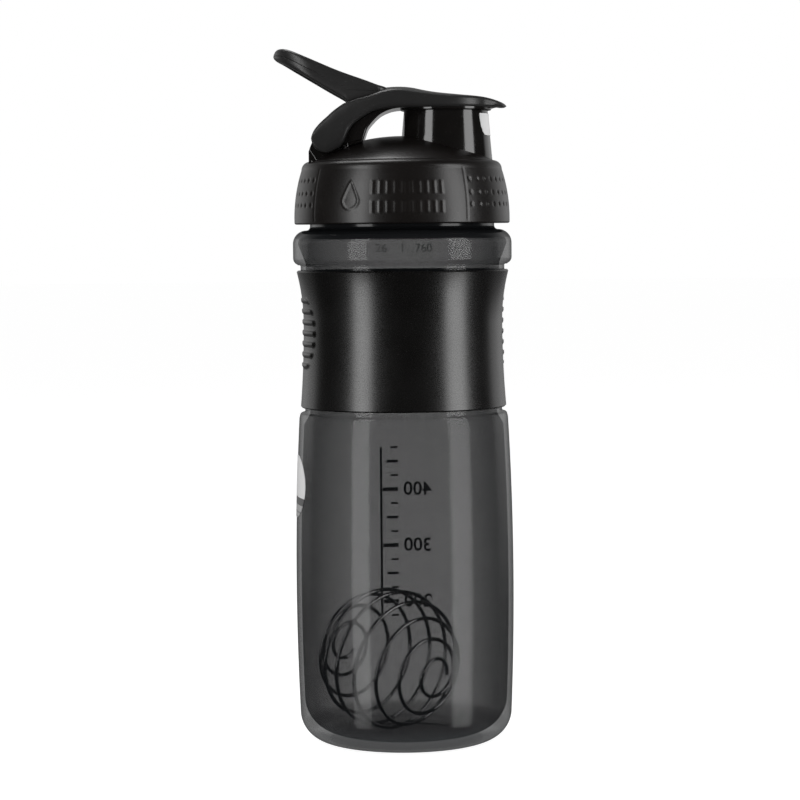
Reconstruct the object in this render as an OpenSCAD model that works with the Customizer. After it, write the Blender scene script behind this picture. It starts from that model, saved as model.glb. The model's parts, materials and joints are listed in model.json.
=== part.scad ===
// Shaker bottle with a screw lid, a flip cap with a carry loop, and a loose wire mixing ball.
// Millimetres. The bottle stands on z = 0 and its axis is Z. The spout is on the +X side
// of the lid and the hinge is on the -X side.

/* [Bottle] */
// Widest outside diameter of the bottle
bottle_d = 81.4; // [76:0.2:100]
// Height of the lower barrel, up to the groove under the grip
barrel_h = 123; // [95:1:150]
// Height of the grip sleeve
grip_h = 50.9; // [42:0.1:64]
// Height of the plain band and shoulder above the grip
band_h = 13.8; // [12.5:0.1:20]
// Height of the neck above the shoulder
neck_h = 20.6; // [20.4:0.1:25]
// Wall thickness of the bottle
wall = 1.9; // [1.4:0.1:2.3]
// Radius of the rounded bottom edge
corner_r = 10.9; // [8:0.1:14]
// How far the barrel swells between its ends
barrel_swell = 1.35; // [0.4:0.05:2]
// Height of the open groove at each end of the grip
groove_h = 2.1; // [1.5:0.1:3]
// Step from the body in to the neck
shoulder_step = 6.4; // [5.6:0.1:8]
// Depth of the recess under the base
base_recess = 1.2; // [0.8:0.1:2.4]

/* [Grip] */
// Thickness of the grip sleeve
grip_t = 1.6; // [1.2:0.1:2]
// Narrowest part of the grip, measured in from the body's widest radius
waist_in = 3.65; // [2.5:0.05:5]
// Height of the narrowest part above the lower end of the grip
waist_up = 31.9; // [22:0.1:36]
// How far the ribs in the side pads stand up
rib_up = 0.45; // [0.2:0.05:0.8]
// How far the side pads are turned towards the front on the label side, in degrees
pad_turn = 11.5; // [0:0.5:25]

/* [Screw lid] */
// Rise of the screw thread in one turn
thread_lead = 6; // [5.6:0.1:8]
// Turns of thread on the neck
thread_turns = 1.5; // [1:0.1:1.6]
// Gap between the neck and the inside of the lid
neck_gap = 2.0; // [1.8:0.05:2.2]
// Thickness of the soft skin on the lid
skin_t = 1.3; // [1:0.1:1.5]
// Thickness of the hard shell under the skin
shell_t = 2.0; // [1.5:0.1:2.6]
// Height that the lid's dome rises above its edge
dome_rise = 9.46; // [8:0.1:12]
// Gap between the bottle's shoulder and the bottom of the lid
lid_gap = 1.2; // [0.8:0.1:2]

/* [Spout] */
// Outside diameter of the spout at its rim
spout_d = 30.9; // [25.6:0.1:37.2]
// Height of the spout above the lid's edge
spout_h = 20; // [18:0.1:24]
// Wall thickness of the spout
spout_wall = 2.0; // [1.5:0.1:2.5]

/* [Flip cap] */
// Width of each hinge arm
arm_w = 5; // [4.4:0.1:6]
// Diameter of the hinge pin
pin_d = 4; // [3.2:0.1:4.8]
// Radial running clearance on the hinge pin
pin_gap = 0.05; // [0.02:0.01:0.1]
// Width of the loop's strands
strand_w = 4.4; // [3.6:0.1:6]

/* [Mixing ball] */
// Outside diameter of the wire ball
ball_d = 53.2; // [46:0.2:56]
// Thickness of the wire
wire_d = 1.7; // [1.2:0.1:2.4]
// Turns of wire from one end of the ball to the other
ball_turns = 8.95; // [5:0.05:9.5]

/* [Hidden] */
$fn = 96;

// Bottle, from the base up
body_r = bottle_d / 2;
barrel_top_z = barrel_h - 2;
barrel_low_r = body_r - 1.0;
barrel_high_r = body_r - 1.7;
foot_r = barrel_low_r - corner_r;
floor_z = base_recess + wall;
bowl_r = 13.2;
grip_low = barrel_h + groove_h;
grip_top = grip_low + grip_h;
waist_z = grip_low + waist_up;
waist_r = body_r - waist_in;
flare_low = 1.35;
flare_top = 2.5;
band_low = grip_top + groove_h;
shoulder_z = band_low + band_h;
shoulder_r = 5;
neck_r = body_r - shoulder_step;
neck_in_r = neck_r - wall;
fillet_r = 1.4;
rim_z = shoulder_z + neck_h;
band_edge = 2.5;

// Screw thread, a ridge on the neck and a ridge in the lid half a turn of lead apart
ridge_up = 1.55;
ridge_base = thread_lead * 0.262;
ridge_crest = thread_lead * 0.155;
thread_z = shoulder_z + 5.2;
lid_in_r = neck_r + neck_gap;
lid_ridge_up = 1.5;
lid_turns = thread_turns - 0.25;
sink = 0.5;

// Lid
lid_low = shoulder_z + lid_gap;
collar_r = neck_r + 5.75;
collar_bow = 59;
collar_z = lid_low + 2;
skirt_low = lid_low + 0.5;
edge_z = rim_z + 0.6;
edge_r = 3.24;
lid_edge_r = neck_r + 0.3;
dome_z = rim_z + 3.64;
dome_R = (pow(lid_edge_r, 2) + pow(dome_rise, 2)) / (2 * dome_rise);
dome_c = dome_z + dome_rise - dome_R;
seal_t = 1.6;
ceiling_z = rim_z + seal_t;
lip_r = neck_in_r - 0.8;
lip_t = 1.4;
lip_low = rim_z - 3.4;
taper_z = rim_z - 6.4;
taper_top = rim_z - 2.9;
taper_r = neck_r + 0.45;

// Spout and hinge places
spout_r = spout_d / 2;
spout_z = dome_z + spout_h - 0.04;
spout_slope = 0.089;
spout_base_r = spout_r + spout_slope * (spout_z - dome_z);
spout_x = lid_edge_r - 0.8 - spout_base_r;
spout_bore_r = spout_r - spout_wall;
hinge_x = -(lid_edge_r - 6.8);
hinge_z = dome_z + 8.26;
pin_r = pin_d / 2;
hub_r = 5.2;
cap_r = spout_base_r + 0.4;
arm_in = cap_r - arm_w;
bracket_gap = 0.3;
bracket_w = arm_in - bracket_gap;
core_out = cap_r - 2.9;
pin_half = cap_r - 1.1;
skirt_out = spout_r + 1.45;
skirt_in = spout_r + 0.5;
plate_z = spout_z + 0.3;
plate_t = 2;
loop_half = cap_r - 2.2;
tab_r = 9;

// Ball
ball_r = ball_d / 2;
wire_r = wire_d / 2;
ball_x = -6.2;
ball_z = floor_z + 0.4 + ball_r;
ball_pole = 5;
ball_ring = 13;
ball_sides = 8;
ball_steps = 40;
ball_phase = 80;
ball_tilt = 97;
ball_swing = -47;

// Points on an arc from angle a to angle b
function arc(cx, cy, r, a, b, n) =
    [for (i = [0 : n]) [cx + r * cos(a + (b - a) * i / n), cy + r * sin(a + (b - a) * i / n)]];

// Outside radius of the barrel at height z
function barrel_t(z) = (z - corner_r) / (barrel_top_z - corner_r);
function barrel_at(z) = barrel_low_r + (barrel_high_r - barrel_low_r) * barrel_t(z)
    + 4 * barrel_swell * barrel_t(z) * (1 - barrel_t(z));

// Outside radius of the grip at height z
function grip_at(z) = z < waist_z
    ? waist_r + flare_low * pow((waist_z - z) / waist_up, 2)
    : waist_r + flare_top * pow((z - waist_z) / (grip_h - waist_up), 2);

// Outside radius of the lid's collar at height z
function collar_at(z) = collar_r - collar_bow + sqrt(pow(collar_bow, 2) - pow(z - collar_z, 2));

// Height of a dome of radius R at radius r, and its points from the middle out
function dome_at(R, r) = dome_c + sqrt(pow(R, 2) - pow(r, 2));
function dome_pts(R, r, n) = [for (i = [0 : n]) [r * i / n, dome_at(R, r * i / n)]];

function barrel_pts(a, b, t, n) =
    [for (i = [0 : n]) [barrel_at(a + (b - a) * i / n) - t, a + (b - a) * i / n]];
function grip_pts(a, b, t, n) =
    [for (i = [0 : n]) [grip_at(a + (b - a) * i / n) - t, a + (b - a) * i / n]];

// Points of the flip cap's side view: h() is measured from the hinge and s() from the spout
function h(x, z) = [hinge_x + x, hinge_z + z];
function s(x, z) = [spout_x + x * cap_r / 17.5, spout_z + z];

// A flat shape drawn in XZ, between two values of y
module side(y0, y1) {
    translate([0, y1, 0])
        rotate([90, 0, 0])
            linear_extrude(height = y1 - y0)
                children();
}

// One ridge of thread, wound up the Z axis. Its ends run out to nothing.
module ridge(root, crest, base_half, crest_half, z0, turns, start) {
    steps = round(60 * turns);
    function fade(i) = min(1, 0.12 + min(i, steps - i) / 7);
    function ring(i) = let (
        a = start + 360 * turns * i / steps,
        z = z0 + thread_lead * turns * i / steps,
        c = root + (crest - root) * fade(i)
    ) [
        [root * cos(a), root * sin(a), z - base_half],
        [c * cos(a), c * sin(a), z - crest_half],
        [c * cos(a), c * sin(a), z + crest_half],
        [root * cos(a), root * sin(a), z + base_half]
    ];
    flip = crest > root;
    pts = [for (i = [0 : steps]) each ring(i)];
    walls = [for (i = [0 : steps - 1]) for (j = [0 : 3]) for (k = [0 : 1])
        let (a = 4 * i + j, b = 4 * i + (j + 1) % 4)
        k == 0 ? [a, b, b + 4] : [a, b + 4, a + 4]];
    ends = [[3, 2, 1], [3, 1, 0], [4 * steps, 4 * steps + 1, 4 * steps + 2],
        [4 * steps, 4 * steps + 2, 4 * steps + 3]];
    faces = concat(walls, ends);
    polyhedron(pts, flip ? faces : [for (f = faces) [f[2], f[1], f[0]]], convexity = 8);
}

module bottle_shell() {
    outer = concat(
        [[0, 0], [foot_r, 0]],
        arc(foot_r, corner_r, corner_r, -80, 0, 8),
        barrel_pts(corner_r + 8, barrel_top_z, 0, 12),
        [[barrel_high_r - 0.25, barrel_h - 0.8], [barrel_high_r - 0.8, barrel_h]],
        [[grip_at(grip_low) - grip_t, barrel_h]],
        grip_pts(grip_low, grip_top, grip_t, 16),
        [[grip_at(grip_top) - grip_t, band_low], [body_r - 1.6, band_low]],
        arc(body_r - band_edge, band_low + band_edge, band_edge, -70, 0, 5),
        arc(body_r - shoulder_r, shoulder_z - 1 - shoulder_r, shoulder_r, 0, 90, 8),
        arc(neck_r + fillet_r, shoulder_z - 1 + fillet_r, fillet_r, 270, 180, 5),
        [[neck_r, rim_z - 0.5], [neck_r - 0.5, rim_z], [0, rim_z]]
    );
    bowl_z = floor_z + bowl_r;
    inner = concat(
        [[0, floor_z]],
        arc(barrel_at(bowl_z) - wall - bowl_r, bowl_z, bowl_r, -90, 0, 10),
        barrel_pts(bowl_z + 8, barrel_h - 4.5, wall, 10),
        [[grip_at(grip_low) - grip_t - wall, barrel_h - 0.4]],
        grip_pts(grip_low, grip_top, grip_t + wall, 16),
        [[grip_at(grip_top) - grip_t - wall, band_low + 0.5]],
        arc(body_r - shoulder_r, shoulder_z - 1 - shoulder_r, shoulder_r - wall, 0, 90, 8),
        arc(neck_r + fillet_r, shoulder_z - 1 + fillet_r, fillet_r + wall, 265, 180, 6),
        [[neck_in_r, rim_z + 1], [0, rim_z + 1]]
    );
    recess = [[0, -1], [foot_r - 2.5, -1], [foot_r - 2.5, 0], [foot_r - 5.3, base_recess],
        [0, base_recess]];
    color([0.25, 0.26, 0.27, 0.7])
        union() {
            difference() {
                rotate_extrude()
                    polygon(outer);
                rotate_extrude()
                    polygon(inner);
                rotate_extrude()
                    polygon(recess);
            }
            ridge(neck_r - sink, neck_r + ridge_up, ridge_base, ridge_crest, thread_z,
                thread_turns, 0);
            scale_marks();
        }
}

// Raised fill lines on the front of the barrel and one on the band
mark_up = 0.25;
mark_step = 11;
mark_low = 24;
mark_count = floor((barrel_h - 12 - mark_low) / mark_step);
module scale_marks() {
    intersection() {
        rotate_extrude()
            difference() {
                polygon(concat([[body_r - 4, mark_low - 4]],
                    barrel_pts(mark_low - 4, barrel_top_z, -mark_up, 12),
                    [[body_r - 4, barrel_top_z]]));
                polygon(concat([[body_r - 5, mark_low - 5]],
                    barrel_pts(mark_low - 5, barrel_top_z + 1, 0.3, 12),
                    [[body_r - 5, barrel_top_z + 1]]));
            }
        union() {
            translate([1.2, -body_r - 2, mark_low])
                cube([0.8, 8, mark_step * mark_count]);
            for (i = [0 : mark_count])
                translate([1.2, -body_r - 2, mark_low + mark_step * i - 0.4])
                    cube([i % 2 == 0 ? 7 : 4, 8, 0.8]);
        }
    }
    intersection() {
        translate([0, 0, shoulder_z - 9.2])
            difference() {
                cylinder(r = body_r + mark_up, h = 3);
                translate([0, 0, -1])
                    cylinder(r = body_r - 0.3, h = 5);
            }
        translate([-0.4, -body_r - 2, shoulder_z - 9])
            cube([0.8, 8, 2.6]);
    }
}

module grip_sleeve() {
    round_e = 0.5;
    skin = concat(
        [[grip_at(grip_low) - grip_t, grip_low]],
        [[grip_at(grip_low) - round_e, grip_low]],
        grip_pts(grip_low + round_e, grip_top - round_e, 0, 16),
        [[grip_at(grip_top) - round_e, grip_top]],
        [for (i = [16 : -1 : 0]) let (z = grip_low + grip_h * i / 16) [grip_at(z) - grip_t, z]]
    );
    pad_z = grip_low + grip_h * 0.55;
    color([0.1, 0.1, 0.1])
        union() {
            rotate_extrude()
                polygon(skin);
            intersection() {
                rotate_extrude()
                    for (i = [-3 : 3])
                        let (z = pad_z + i * 4)
                            polygon([[grip_at(z) - 0.8, z - 1.2], [grip_at(z) + rib_up, z - 0.8],
                                [grip_at(z) + rib_up, z + 0.8], [grip_at(z) - 0.8, z + 1.2]]);
                translate([0, 0, pad_z])
                    rotate([0, 90, pad_turn])
                        linear_extrude(height = 2 * body_r + 4, center = true)
                            polygon([for (a = [0 : 10 : 350]) [15 * cos(a), 12 * sin(a)]]);
            }
        }
}

// Round printed label on the -X side of the barrel
label_t = 0.15;
label_r = 11.7;
label_z = 96;
module body_label() {
    color([0.92, 0.92, 0.92])
        intersection() {
            rotate_extrude()
                difference() {
                    polygon(concat([[body_r - 5, corner_r + 8]],
                        barrel_pts(corner_r + 8, barrel_top_z, -label_t, 12),
                        [[body_r - 5, barrel_top_z]]));
                    polygon(concat([[body_r - 6, corner_r + 8]],
                        barrel_pts(corner_r + 8, barrel_top_z, 0, 12),
                        [[body_r - 6, barrel_top_z]]));
                }
            rotate([0, 0, 187.7])
                translate([body_r - 6, 0, label_z])
                    rotate([0, 90, 0])
                        cylinder(r = label_r, h = 12);
        }
}

// Wire wound into an open ball, with a small ring at each end
module mixing_ball() {
    path_r = ball_r - wire_r;
    steps = round(ball_steps * ball_turns);
    function polar(i) = max(ball_ring, min(180 - ball_ring,
        ball_pole + (180 - 2 * ball_pole) * i / steps));
    function turn(i) = ball_phase + 360 * ball_turns * i / steps;
    function at(i) = let (p = polar(i), a = turn(i))
        [path_r * sin(p) * cos(a), path_r * sin(p) * sin(a), path_r * cos(p)];
    function unit(v) = v / norm(v);
    function ring(i) = let (
        c = at(i),
        d = unit(at(min(i + 1, steps)) - at(max(i - 1, 0))),
        n = unit(c),
        u = unit(n - d * (n * d)),
        w = cross(d, u)
    ) [for (k = [0 : ball_sides - 1])
        c + wire_r * (u * cos(360 * k / ball_sides) + w * sin(360 * k / ball_sides))];
    pts = [for (i = [0 : steps]) each ring(i)];
    walls = [for (i = [0 : steps - 1]) for (j = [0 : ball_sides - 1]) for (k = [0 : 1])
        let (a = ball_sides * i + j, b = ball_sides * i + (j + 1) % ball_sides)
        k == 0 ? [a, b + ball_sides, b] : [a, a + ball_sides, b + ball_sides]];
    first = [for (j = [1 : ball_sides - 2]) [0, j, j + 1]];
    last = [for (j = [1 : ball_sides - 2])
        [ball_sides * steps, ball_sides * steps + j + 1, ball_sides * steps + j]];
    color([0.6, 0.6, 0.62])
        translate([ball_x, 0, ball_z])
            rotate([0, 0, ball_swing])
                rotate([0, ball_tilt, 0])
                    polyhedron(pts, concat(walls, first, last), convexity = 12);
}

module lid_seal() {
    color([0.75, 0.3, 0.25])
        translate([0, 0, rim_z])
            difference() {
                cylinder(r = neck_r - 0.1, h = seal_t);
                translate([0, 0, -1])
                    cylinder(r = neck_in_r, h = seal_t + 2);
            }
}

// Outside of the hard shell where the skin lies on it, and the outside of the skin
function lid_line(t) = concat(
    dome_pts(dome_R - t, lid_edge_r - 0.6 - t, 10),
    arc(lid_edge_r - 0.6, edge_z, edge_r - t, 80, 0, 6),
    [for (i = [1 : 8]) let (z = edge_z + (skirt_low - edge_z) * i / 8) [collar_at(z) - t, z]]
);

module spout_cone(extra) {
    h = spout_z - ceiling_z;
    translate([spout_x, 0, ceiling_z])
        cylinder(r1 = spout_r + spout_slope * h + extra, r2 = spout_r + extra, h = h);
}

module bracket_outline() {
    polygon([h(-6.3, -9.6), h(-6.3, -4.6), h(-5.9, -3.4), h(-5.0, -1.2), h(-4.6, 1.2),
        h(-3.6, 3.0), h(-2, 4.2), h(0, 4.7), h(2, 4.4), h(3.8, 3.2), h(5.0, 1.2), h(6.2, -1),
        h(7, -9.6)]);
}

module bracket(half) {
    difference() {
        side(-half, half)
            bracket_outline();
        translate([0, 0, dome_c])
            sphere(r = dome_R - skin_t - shell_t);
    }
}

module pin_line(r, half) {
    translate([hinge_x, half, hinge_z])
        rotate([90, 0, 0])
            cylinder(r = r, h = 2 * half);
}

module lid_shell() {
    inner_R = dome_R - skin_t - shell_t;
    inner = concat(
        [[0, lid_low - 5], [lid_in_r, lid_low - 5], [lid_in_r, taper_z], [taper_r, taper_top],
            [taper_r, ceiling_z], [lip_r, ceiling_z], [lip_r, lip_low]],
        [[lip_r - lip_t, lip_low]],
        [for (i = [6 : -1 : 0]) let (r = (lip_r - lip_t) * i / 6) [r, dome_at(inner_R, r)]]
    );
    color([0.06, 0.06, 0.06])
        difference() {
            union() {
                difference() {
                    rotate_extrude()
                        polygon(concat(lid_line(skin_t), [[0, skirt_low]]));
                    rotate_extrude()
                        polygon(inner);
                }
                ridge(lid_in_r + sink, lid_in_r - lid_ridge_up, ridge_base, ridge_crest,
                    thread_z + thread_lead / 2, lid_turns, 0);
                difference() {
                    spout_cone(0);
                    translate([0, 0, dome_c])
                        sphere(r = inner_R);
                }
                bracket(bracket_w);
            }
            translate([spout_x, 0, lip_low])
                cylinder(r = spout_bore_r, h = spout_z - lip_low + 5);
            pin_line(pin_r, cap_r);
        }
}

module lid_collar() {
    color([0.14, 0.13, 0.13])
        difference() {
            rotate_extrude()
                difference() {
                    polygon(concat(lid_line(0),
                        [[collar_at(lid_low) - 0.5, lid_low], [0, lid_low]]));
                    polygon(concat(lid_line(skin_t),
                        [[collar_at(skirt_low) - skin_t, lid_low - 1], [0, lid_low - 1]]));
                }
            spout_cone(0);
            bracket(bracket_w);
        }
}

module hinge_pin() {
    color([0.7, 0.7, 0.72])
        pin_line(pin_r, pin_half);
}

// Tongue-shaped label on the front of the spout
module spout_label() {
    top_z = spout_z - 2.6;
    tongue = concat([[-10, top_z], [-10, top_z - 3]], arc(0, top_z - 3, 10, 180, 360, 16),
        [[10, top_z]]);
    color([0.95, 0.95, 0.95])
        intersection() {
            difference() {
                spout_cone(label_t);
                spout_cone(0);
            }
            translate([spout_x, 0, 0])
                rotate([90, 0, 90])
                    linear_extrude(height = 40)
                        polygon([for (p = tongue) [p[0], max(p[1], top_z - 8)]]);
        }
}

// Side view of the flip cap: the upper line of its arms, from the hub to the loop's end
arm_top = [h(-4.8, 2.0), h(-3.5, 3.7), h(-1.7, 5.9), h(0.8, 8.1), h(3.0, 10.2), h(6.0, 12.4),
    h(7.4, 13.1), h(11.4, 14.4), h(15.5, 15.4), h(18.7, 16.3), h(21.2, 17)];
// The cap's top, from the loop's end to the tip of the tab
cap_top = [h(21.2, 19.1), s(-19.2, 7.8), s(-15.5, 7.7), s(-12.1, 7.3), s(-8.6, 6.4),
    s(-3.6, 5.5), s(3.8, 4.8), s(11.2, 4.5), s(15.8, 3.7), s(19.7, 2.4), s(21.6, 1.4),
    s(22.4, 0.6), s(22.2, -0.1), s(21.4, -0.4), s(19.8, -0.2), s(18.6, 0.2), s(15.5, 0.4)];
// The underside, from the spout back to the hub
cap_under = [s(15, 0.1), s(-9.7, 0.1), s(-17.2, 0), s(-21.2, -0.6), h(18.4, 10.1),
    h(15.5, 8.9), h(11.4, 6.2), h(8.1, 2.2), h(6.7, -1.4), h(5.3, -3.0), h(3.5, -3.85)];
// The web between the arms, inner line then outer line
web_in = [h(13.6, 0.3), h(14.6, 2.3), h(16.3, 5.0), h(20.0, 8.7), h(24.2, 10.6),
    s(-15.8, -0.5)];
web_out = [s(-15.8, 2.6), h(22.8, 13.9), h(21.2, 13.3), h(17.3, 11.9), h(12.8, 8.0),
    h(9.2, 3.2), h(7.5, -1.3)];

module hub(r, half) {
    translate([hinge_x, half, hinge_z])
        rotate([90, 0, 0])
            cylinder(r = r, h = 2 * half);
}

module cap_plan() {
    translate([0, 0, dome_z - 20])
        linear_extrude(height = 80)
            union() {
                translate([spout_x, 0])
                    circle(r = cap_r);
                translate([hinge_x - 8, -cap_r])
                    square([spout_x - hinge_x + 8, 2 * cap_r]);
                translate([spout_x, 0])
                    polygon([[0, cap_r], [0, -cap_r], [8.3, -cap_r * 0.88],
                        [cap_r * 0.79, -tab_r], [cap_r * 0.79, tab_r], [8.3, cap_r * 0.88]]);
                translate([spout_x + 22.4 * cap_r / 17.5 - tab_r, 0])
                    circle(r = tab_r);
            }
}

module cap_frame() {
    color([0.05, 0.05, 0.05])
        difference() {
            union() {
                side(-core_out, core_out)
                    polygon(concat(web_in, web_out));
                side(-core_out, core_out)
                    polygon([h(-3.6, 1.6), h(-1.2, 4.6), h(1.6, 7.0), h(6.2, 10.6),
                        h(12, 12.8), h(17.5, 14.6), h(21.2, 15.2), s(-15.8, 2.6), h(17.3, 8),
                        h(12.6, 4), h(9, -1), h(3.4, -2.6)]);
                hub(4.3, core_out);
                translate([spout_x, 0, plate_z])
                    cylinder(r = skirt_out, h = plate_t);
                side(-core_out, core_out)
                    polygon([s(-18, 0.3), s(-4, 0.3), s(-4, 0.3 + plate_t),
                        s(-15.8, 0.3 + plate_t), s(-18, 0.3 + plate_t)]);
                translate([spout_x, 0, plate_z - 2])
                    difference() {
                        cylinder(r = skirt_out, h = 2.2);
                        translate([0, 0, -1])
                            cylinder(r = skirt_in, h = 3);
                    }
            }
            translate([hinge_x, arm_in, hinge_z])
                side(-2 * arm_in, 0)
                    polygon([for (a = [0 : 10 : 350]) [7.3 * cos(a), 7.3 * sin(a)]]);
            side(-arm_in, arm_in)
                polygon([h(-10, -10), h(7.45, -10), web_out[6], web_out[5], web_out[4],
                    web_out[3], web_out[2], h(21.2, 30), h(-10, 30)]);
            pin_line(pin_r + pin_gap, cap_r);
            translate([spout_x, 0, plate_z - 30])
                cylinder(r = skirt_in, h = 30);
        }
}

module cap_skin() {
    color([0.16, 0.16, 0.17])
        difference() {
            union() {
                intersection() {
                    side(-cap_r, cap_r)
                        polygon(concat(arm_top, cap_top, cap_under));
                    cap_plan();
                }
                hub(hub_r, cap_r);
            }
            side(-arm_in, arm_in)
                polygon([h(-10, -10), h(21.2, -10), h(21.2, 30), h(-10, 30)]);
            cap_frame();
            pin_line(pin_r + 0.3, pin_half + 0.2);
            translate([spout_x, 0, plate_z - 30])
                cylinder(r = skirt_out, h = 30);
        }
}

// Side view of the carry loop
loop_line = concat(
    [h(-19.4, 30.6), h(-19.0, 32.0), h(-17.9, 33.0), h(-15.9, 33.2), h(-12.9, 32.6),
        h(-9.2, 30.8), h(-1.7, 27.6), h(3.9, 25.2), h(8.9, 23.2), h(13.2, 22.0),
        h(16.7, 20.6), h(19.3, 19.5), h(21.2, 19.1)],
    [for (i = [10 : -1 : 6]) arm_top[i]],
    [h(6.6, 14.9), h(1.2, 18.0), h(-4.5, 21.4), h(-10.3, 24.8), h(-15.5, 27.9),
        h(-18.2, 29.0)]
);

module carry_loop() {
    end_x = hinge_x - 19.4;
    color([0.18, 0.18, 0.19])
        union() {
            intersection() {
                side(-loop_half, loop_half)
                    polygon(loop_line);
                translate([0, 0, hinge_z])
                    linear_extrude(height = 60)
                        difference() {
                            union() {
                                translate([end_x + loop_half, 0])
                                    circle(r = loop_half);
                                translate([end_x + loop_half, -loop_half])
                                    square([60, 2 * loop_half]);
                            }
                            translate([end_x + loop_half, 0])
                                circle(r = loop_half - strand_w);
                            translate([end_x + loop_half, strand_w - loop_half])
                                square([hinge_x + 8.6 - end_x - loop_half,
                                    2 * (loop_half - strand_w)]);
                        }
            }
            side(-arm_in, arm_in)
                polygon([h(21.2, 19.1), web_out[2], web_out[3], web_out[4], h(11.2, 8.3),
                    h(9.4, 12), h(8.6, 16), h(8.6, 23), h(13.2, 21.9), h(16.7, 20.5),
                    h(19.3, 19.4)]);
        }
}

module spout_plug() {
    color([0.7, 0.7, 0.7])
        translate([spout_x, 0, plate_z])
            difference() {
                translate([0, 0, -4.3])
                    cylinder(r1 = spout_bore_r - 1.75, r2 = spout_bore_r - 0.55, h = 4.3);
                translate([0, 0, -5])
                    cylinder(r = spout_bore_r - 3.4, h = 3.8);
            }
}

bottle_shell();
grip_sleeve();
body_label();
mixing_ball();
lid_seal();
lid_shell();
lid_collar();
hinge_pin();
spout_label();
cap_frame();
cap_skin();
carry_loop();
spout_plug();
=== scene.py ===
import bpy, json, math
from mathutils import Matrix, Vector


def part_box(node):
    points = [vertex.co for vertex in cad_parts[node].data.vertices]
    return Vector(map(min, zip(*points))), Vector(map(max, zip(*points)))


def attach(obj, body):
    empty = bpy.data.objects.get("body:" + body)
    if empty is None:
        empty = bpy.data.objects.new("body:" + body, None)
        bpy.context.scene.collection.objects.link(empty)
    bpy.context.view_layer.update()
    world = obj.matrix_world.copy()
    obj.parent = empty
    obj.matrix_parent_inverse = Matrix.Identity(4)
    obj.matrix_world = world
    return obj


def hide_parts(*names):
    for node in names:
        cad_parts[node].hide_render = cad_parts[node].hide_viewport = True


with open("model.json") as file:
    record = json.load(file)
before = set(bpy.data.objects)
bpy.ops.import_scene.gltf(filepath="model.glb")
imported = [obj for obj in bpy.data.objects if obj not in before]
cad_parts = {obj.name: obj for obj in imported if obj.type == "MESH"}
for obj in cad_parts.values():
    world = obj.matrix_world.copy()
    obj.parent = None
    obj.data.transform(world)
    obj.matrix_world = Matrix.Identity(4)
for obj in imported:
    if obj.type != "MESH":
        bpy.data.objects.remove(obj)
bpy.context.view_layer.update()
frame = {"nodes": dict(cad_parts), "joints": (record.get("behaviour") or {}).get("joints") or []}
mm = 0.001
scene = bpy.context.scene


# small tools that make and shape meshes
def only(*objs):  # leaves just these selected
    if bpy.context.object and bpy.context.object.mode != "OBJECT":
        bpy.ops.object.mode_set(mode="OBJECT")
    for o in list(bpy.context.selected_objects):
        o.select_set(False)
    for o in objs:
        o.select_set(True)
    if objs:
        bpy.context.view_layer.objects.active = objs[0]


def newPiece(name, points, edges=(), faces=()):
    mesh = bpy.data.meshes.new(name)
    mesh.from_pydata([tuple(p) for p in points], list(edges), list(faces))
    piece = bpy.data.objects.new(name, mesh)
    scene.collection.objects.link(piece)
    only(piece)
    return piece


def closeUp(piece, gap=0.002 * mm):  # merges doubles and turns the faces outwards
    only(piece)
    bpy.ops.object.mode_set(mode="EDIT")
    bpy.ops.mesh.select_all(action="SELECT")
    bpy.ops.mesh.remove_doubles(threshold=gap)
    bpy.ops.mesh.normals_make_consistent(inside=False)
    bpy.ops.object.mode_set(mode="OBJECT")


def soften(piece, angle=32):  # big faces keep their own direction next to rounded edges
    only(piece)
    bpy.ops.object.shade_smooth_by_angle(angle=math.radians(angle))
    apply(piece, "WEIGHTED_NORMAL", keep_sharp=True, weight=80)


def apply(piece, kind, **settings):
    only(piece)
    mod = piece.modifiers.new(kind.title(), kind)
    for key, value in settings.items():
        setattr(mod, key, value)
    bpy.ops.object.modifier_apply(modifier=mod.name)


def carve(piece, tool, how="DIFFERENCE"):  # cuts, keeps or adds another mesh, which is then thrown away
    apply(piece, "BOOLEAN", operation=how, object=tool, solver="EXACT")
    bpy.data.objects.remove(tool)


def spun(name, profile, steps, loop=False):  # turns a line of (radius, height) in mm round the Z axis
    points = [(r * mm, 0, z * mm) for r, z in profile]
    edges = [(i, i + 1) for i in range(len(points) - 1)]
    if loop:
        edges.append((len(points) - 1, 0))
    piece = newPiece(name, points, edges)
    bpy.ops.object.mode_set(mode="EDIT")
    bpy.ops.mesh.select_all(action="SELECT")
    bpy.ops.mesh.spin(steps=steps, angle=2 * math.pi, center=(0, 0, 0), axis=(0, 0, 1))
    closeUp(piece)
    return piece


def bend(cx, cy, r, a, b, n):  # points on an arc, in degrees
    return [(cx + r * math.cos(math.radians(a + (b - a) * i / n)),
             cy + r * math.sin(math.radians(a + (b - a) * i / n))) for i in range(n + 1)]


def even(a, b, n):
    return [a + (b - a) * i / n for i in range(n + 1)]


def flowing(points, n=6):  # a smooth line through a few points
    out = []
    for i in range(len(points) - 1):
        p0, p1, p2, p3 = (points[max(i - 1, 0)], points[i], points[i + 1],
                          points[min(i + 2, len(points) - 1)])
        for k in range(n):
            t = k / n
            out.append(tuple(
                0.5 * (2 * b + (c - a) * t + (2 * a - 5 * b + 4 * c - d) * t ** 2
                       + (3 * b - a - 3 * c + d) * t ** 3)
                for a, b, c, d in zip(p0, p1, p2, p3)))
    return out + [tuple(points[-1])]


def heightOn(line, x):  # height of a line of (x, z) at x
    if x <= line[0][0]:
        return line[0][1]
    for (x0, z0), (x1, z1) in zip(line, line[1:]):
        if x0 <= x <= x1:
            return z0 + (z1 - z0) * (x - x0) / max(x1 - x0, 1e-9)
    return line[-1][1]


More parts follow.
